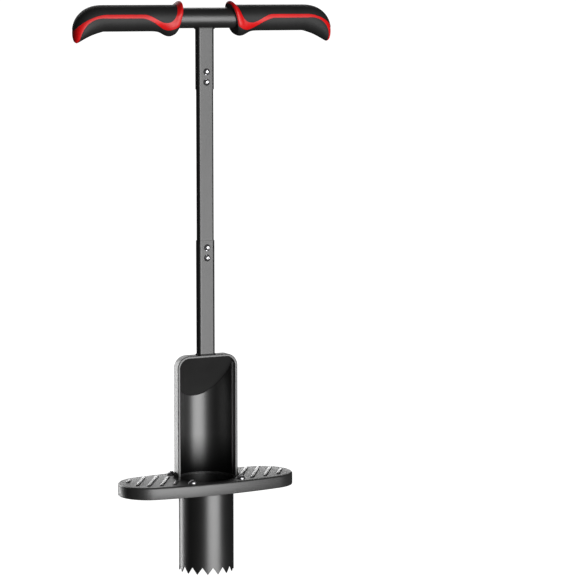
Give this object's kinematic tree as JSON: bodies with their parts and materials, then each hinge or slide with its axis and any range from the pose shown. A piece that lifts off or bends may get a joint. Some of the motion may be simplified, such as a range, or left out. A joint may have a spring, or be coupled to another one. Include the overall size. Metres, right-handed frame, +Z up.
{
  "type": "post hole digger",
  "caption": "Step-on hole cutter with a T handle, flat three-piece shaft, soil chute, oval foot pedal and a toothed cutting tube.",
  "frame": {"origin": "on the axis of the cutting tube, level with the tooth tips", "axes": "+Z up along the shaft, +X along the handle and the pedal, and -Y out of the chute's open front"},
  "size_m": [0.3858, 0.1, 0.7887],
  "materials": {
    "frame_paint": "satin black powder coat",
    "chute_paint": "satin black powder coat",
    "pedal_paint": "fine textured black powder coat",
    "cutter_paint": "smooth satin black coating",
    "weld_paint": "powder coat over a weld bead",
    "fastener": "bright zinc-plated steel",
    "grip_red": "smooth satin moulded rubber",
    "grip_black": "soft matt moulded rubber"
  },
  "bodies": {
    "root": {"crossbar": "frame_paint", "crossbar_weld": "weld_paint", "upper_shaft": "frame_paint", "middle_shaft": "frame_paint", "lower_shaft": "frame_paint", "shaft_weld": "weld_paint", "upper_joint_screws": "fastener", "upper_joint_nuts": "fastener", "lower_joint_screws": "fastener", "lower_joint_nuts": "fastener", "left_grip_core": "grip_red", "left_grip_top_pad": "grip_black", "left_grip_bottom_pad": "grip_black", "right_grip_core": "grip_red", "right_grip_top_pad": "grip_black", "right_grip_bottom_pad": "grip_black", "chute_frame": "frame_paint", "chute_shell": "chute_paint", "chute_roof": "chute_paint", "chute_weld": "weld_paint", "pedal": "pedal_paint", "cutter_plate": "cutter_paint", "cutter_tube": "cutter_paint", "cutter_weld": "weld_paint", "cutter_bolts": "fastener", "cutter_washers": "fastener", "cutter_nuts": "fastener"}
  },
  "joints": []
}
